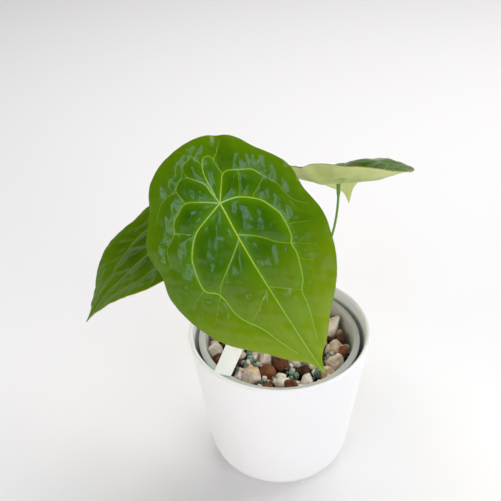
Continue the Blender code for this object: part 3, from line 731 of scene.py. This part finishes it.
def leaf_side(name, dark, light, margin, tip, halo_colour, vein_colour, roughness, network, **sockets):
    """Leaf tissue: mottled green, paler to the margin and by the veins, with a fine network."""
    made, tree, shader = new_material(name, IOR=1.45, **sockets)
    stored = add_node(tree, "Attribute", attribute_name="place")
    parts = add_node(tree, "SeparateXYZ", {0: stored.outputs["Vector"]})
    flat = add_node(tree, "CombineXYZ", {0: parts.outputs["X"], 1: parts.outputs["Y"]})
    mottle = add_node(tree, "TexNoise", {"Vector": flat.outputs[0], "Scale": 1 / (16 * MM), "Detail": 4.0})
    spread = add_node(tree, "MapRange", {"Value": mottle.outputs["Fac"], "From Min": 0.35, "From Max": 0.68})
    body = add_node(tree, "Mix", {0: spread.outputs[0], 6: linear(dark), 7: linear(light)}, data_type="RGBA")
    near = add_node(tree, "MapRange", {"Value": parts.outputs["Z"], "From Min": 0.45, "From Max": 1.0})
    body = add_node(tree, "Mix", {0: near.outputs[0], 6: body.outputs[2], 7: linear(margin)},
                    data_type="RGBA")
    ahead = add_node(tree, "MapRange", {"Value": parts.outputs["X"], "From Min": 35 * MM,
                                        "From Max": 110 * MM})
    body = add_node(tree, "Mix", {0: ahead.outputs[0], 6: body.outputs[2], 7: linear(tip)},
                    data_type="RGBA")
    clear, clear_parts = vein_mask(tree, "clear_way", "clear")
    faint, faint_parts = vein_mask(tree, "faint_way", "faint")
    body = add_node(tree, "Mix", {0: clear_parts.outputs["Z"], 6: body.outputs[2], 7: linear(halo_colour)},
                    data_type="RGBA")
    # Finest veins: a net of cells about 3.5 mm across
    cells = add_node(tree, "TexVoronoi", {"Vector": flat.outputs[0], "Scale": 1 / (3.5 * MM)},
                     feature="DISTANCE_TO_EDGE")
    net = add_node(tree, "MapRange", {"Value": cells.outputs["Distance"], "From Min": 0.0, "From Max": 0.16,
                                      "To Min": network, "To Max": 0.0})
    body = add_node(tree, "Mix", {0: net.outputs[0], 6: body.outputs[2], 7: linear(halo_colour)},
                    data_type="RGBA")
    body = add_node(tree, "Mix", {0: faint, 6: body.outputs[2], 7: linear(vein_colour)}, data_type="RGBA")
    body = add_node(tree, "Mix", {0: clear, 6: body.outputs[2], 7: linear(vein_colour)}, data_type="RGBA")
    tree.links.new(body.outputs[2], shader.inputs["Base Color"])
    shine = add_node(tree, "MapRange", {"Value": mottle.outputs["Fac"], "From Min": 0.3, "From Max": 0.7,
                                        "To Min": roughness - 0.03, "To Max": roughness + 0.06})
    tree.links.new(shine.outputs[0], shader.inputs["Roughness"])
    small = add_node(tree, "TexNoise", {"Vector": flat.outputs[0], "Scale": 1 / (1.6 * MM), "Detail": 3.0})
    puff = add_node(tree, "Math", {0: cells.outputs["Distance"], 1: 0.5}, operation="MINIMUM")
    height = add_node(tree, "Math", {0: small.outputs["Fac"], 1: 0.5, 2: puff.outputs[0]},
                      operation="MULTIPLY_ADD")
    bump = add_node(tree, "Bump", {"Height": height.outputs[0], "Strength": 0.16, "Distance": 0.35 * MM})
    tree.links.new(bump.outputs["Normal"], shader.inputs["Normal"])
    return made


# The margin: a hair's breadth of dry, yellowed tissue that outlines each leaf
edge_gold, tree, shader = new_material("dry_leaf_edge", Roughness=0.6)
crumble = add_node(tree, "TexNoise", {"Vector": add_node(tree, "TexCoord").outputs["Object"],
                                      "Scale": 1 / (4 * MM), "Detail": 4.0})
shade = add_node(tree, "ValToRGB", {"Fac": crumble.outputs["Fac"]}, stops=(
    (0.35, linear("#7d8f1e")), (0.65, linear("#a58f34"))))
tree.links.new(shade.outputs["Color"], shader.inputs["Base Color"])
# Young blade: waxy and sharply glossy. Old blade: darker and duller. Underside: pale and matt, its light
# yellow-green partly its own paler colour and partly painted light for sun shining through the thin blade
fresh_upper = leaf_side("leaf_upper_fresh", "#2b5600", "#406a00", "#567900", "#8aa210", "#5a8a00",
                        "#a8c440", 0.15, 0.10, Specular_IOR_Level=0.45)
old_upper = leaf_side("leaf_upper_mature", "#2d4800", "#3a5600", "#4e6e00", "#648400", "#486a04",
                      "#6c8c1c", 0.26, 0.07, Specular_IOR_Level=0.12)
underside = leaf_side("leaf_underside", "#96a95a", "#bac878", "#ced48e", "#c9cf86", "#b2c26c",
                      "#d0da96", 0.55, 0.22)

front = Blade((-36.6, -26.6, 240.2), -50.9, 38.2, 31.4, 119.5, (0.96, 1.07), (-6, 0, -7, 0, 0, 0, 0, 0))
left = Blade((-68.4, 14.4, 198.7), 221.7, 27.4, 12.6, 87.7, (1.05, 1.05),
             (12.6, 0.7, 1.8, -8.3, 6.3, 2, -7.1, -3.4), mirrored=True)
right = Blade((43.3, 43.8, 211.6), 78.7, 21.8, -4.7, 109.2, (1.08, 1.08),
              (23.9, -9.3, 13.6, -18.7, -4.4, -16.9, 3.7, 19.1))
blade_piece("front_blade", front, [fresh_upper, underside, edge_gold], "front_leaf_blade", 440, 150, 30, 1)
blade_piece("left_blade", left, [old_upper, underside, edge_gold], "left_leaf_blade", 340, 90, 26, 5)
blade_piece("right_blade", right, [old_upper, underside, edge_gold], "right_leaf_blade", 340, 90, 40, 9)


# ------------------------------------------------------------------ petioles
# Leaf stalks: thin, smooth and round, with a thicker, darker knee just under each blade that
# lets the leaf turn to the light. Each runs in one soft curve from the crown.

STALK_BASE = 1.6                              # radii in millimetres
STALK_TOP = 0.85
KNEE_RADIUS = 1.4
JOIN_FLARE = 0.9
STALK_TAPER = 1.5                             # the stalk is at its thinnest after 1 / 1.5 of its run
KNEE_LENGTH = 11 * MM
KNEE_BLEND = 4 * MM
FLARE_LENGTH = 0.8 * MM
INTO_BLADE = 0.2 * MM                         # how far under the blade's middle a stalk ends

# Living stalk skin: satin green, a little browner at the crown and darker at the knee
stalk, tree, shader = new_material("green_petiole_skin", Roughness=0.42, IOR=1.45)
length_way = add_node(tree, "Attribute", attribute_name="up_stalk")
streak = add_node(tree, "TexNoise", {"Vector": add_node(tree, "TexCoord").outputs["Object"],
                                     "Scale": 1 / (5 * MM), "Detail": 3.0})
shade = add_node(tree, "ValToRGB", {"Fac": length_way.outputs["Fac"]}, stops=(
    (0.0, linear("#6d8a3a")), (0.5, linear("#659a28")), (0.86, linear("#5c9a18")), (0.93, linear("#54801c")),
    (1.0, linear("#6a9a2a"))))
tint = add_node(tree, "Mix", {0: streak.outputs["Fac"], 6: shade.outputs["Color"], 7: linear("#7a9c45")},
                data_type="RGBA")
tree.links.new(tint.outputs[2], shader.inputs["Base Color"])
bump = add_node(tree, "Bump", {"Height": streak.outputs["Fac"], "Strength": 0.15, "Distance": 0.3 * MM})
tree.links.new(bump.outputs["Normal"], shader.inputs["Normal"])


def petiole_piece(name, blade, base, rise, hang, node, sides=20, count=110):
    """A tube along the same curve as the frame's petiole, with its knee."""
    start = Vector(base) * MM
    end = Vector(blade.hub - blade.up * INTO_BLADE)
    span = (end - start).length
    first = start + Vector(rise).normalized() * span * 0.45
    last = end - Vector(blade.up) * span * hang
    points = []
    for step in range(count + 1):
        t = step / count
        points.append(start * (1 - t) ** 3 + first * 3 * t * (1 - t) ** 2
                      + last * 3 * t * t * (1 - t) + end * t ** 3)
    left_over = [0.0]
    for a, b in zip(points[::-1], points[-2::-1]):
        left_over.append(left_over[-1] + (a - b).length)
    left_over.reverse()
    verts, up_stalk = [], []
    side_way = Vector((1, 0, 0))
    for index, point in enumerate(points):
        way = (points[min(index + 1, count)] - points[max(index - 1, 0)]).normalized()
        side_way = (side_way - way * side_way.dot(way)).normalized()
        other = way.cross(side_way)
        share = index / count
        radius = STALK_BASE + (STALK_TOP - STALK_BASE) * min(1, share * STALK_TAPER)
        knee = min(1, max(0, (KNEE_LENGTH - left_over[index]) / KNEE_BLEND))
        knee = knee * knee * (3 - 2 * knee)
        radius += (KNEE_RADIUS - radius) * knee
        radius += JOIN_FLARE * math.exp(-left_over[index] / FLARE_LENGTH)
        for side in range(sides):
            angle = math.tau * side / sides
            verts.append(point + (side_way * math.cos(angle) + other * math.sin(angle)) * radius * MM)
            up_stalk.append(0.85 * share if knee == 0 else 0.88 + 0.1 * knee)
    faces = [tuple(range(sides))[::-1], tuple(count * sides + side for side in range(sides))]
    for row in range(count):
        for side in range(sides):
            after = (side + 1) % sides
            low, high = row * sides, (row + 1) * sides
            faces.append((low + side, low + after, high + after, high + side))
    piece = add_piece(name, verts, faces, [stalk], (node,))
    layer = piece.data.attributes.new("up_stalk", "FLOAT", "POINT")
    layer.data.foreach_set("value", np.array(up_stalk, dtype=np.float32))


petiole_piece("front_petiole", front, (-2.2, -2.6, 103), (-0.16, -0.02, 1), 0.16, "front_leaf_petiole")
petiole_piece("left_petiole", left, (-2.6, 2.4, 103), (-0.5, 0.2, 1), 0.16, "left_leaf_petiole")
petiole_piece("right_petiole", right, (3.0, 0.8, 103), (0.4, 0.6, 1), 0.45, "right_leaf_petiole")


# ------------------------------------------------------------------ crown and sheaths
# The short stem that carries the stalks, in the same green skin as theirs, and two dry papery
# sheaths left by earlier leaves. They keep the frame's own solids and get only a finish.

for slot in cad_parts["crown_stem"].material_slots:
    slot.material = stalk
# Dead sheath tissue: tan, fibrous and without shine
papery, tree, shader = new_material("dry_sheath_paper", Roughness=0.8)
place = add_node(tree, "TexCoord").outputs["Object"]
fibres = add_node(tree, "TexNoise", {"Vector": place, "Scale": 1 / (2 * MM), "Detail": 6.0})
shade = add_node(tree, "ValToRGB", {"Fac": fibres.outputs["Fac"]}, stops=(
    (0.3, linear("#6b4a2a")), (0.7, linear("#a98457"))))
tree.links.new(shade.outputs["Color"], shader.inputs["Base Color"])
bump = add_node(tree, "Bump", {"Height": fibres.outputs["Fac"], "Strength": 0.5, "Distance": 0.3 * MM})
tree.links.new(bump.outputs["Normal"], shader.inputs["Normal"])
for node in ("cataphyll_01", "cataphyll_02"):
    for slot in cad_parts[node].material_slots:
        slot.material = papery


# ------------------------------------------------------------------ plant label
# A blank plant label: a strip cut from thin white plastic sheet, tapered at one end, lying
# across the liner's rim on the mix. It keeps the frame's own solid.

# Polystyrene sheet: a clean, slightly glossy white with hardly visible scuffs
label_plastic, tree, shader = new_material("white_polystyrene_sheet", Roughness=0.38, IOR=1.55)
place = add_node(tree, "TexCoord").outputs["Object"]
scuff = add_node(tree, "TexNoise", {"Vector": place, "Scale": 1 / (6 * MM), "Detail": 5.0})
tint = add_node(tree, "Mix", {0: scuff.outputs["Fac"], 6: linear("#f8f7f6"), 7: linear("#fdfdfc")},
                data_type="RGBA")
tree.links.new(tint.outputs[2], shader.inputs["Base Color"])
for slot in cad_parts["plant_label"].material_slots:
    slot.material = label_plastic
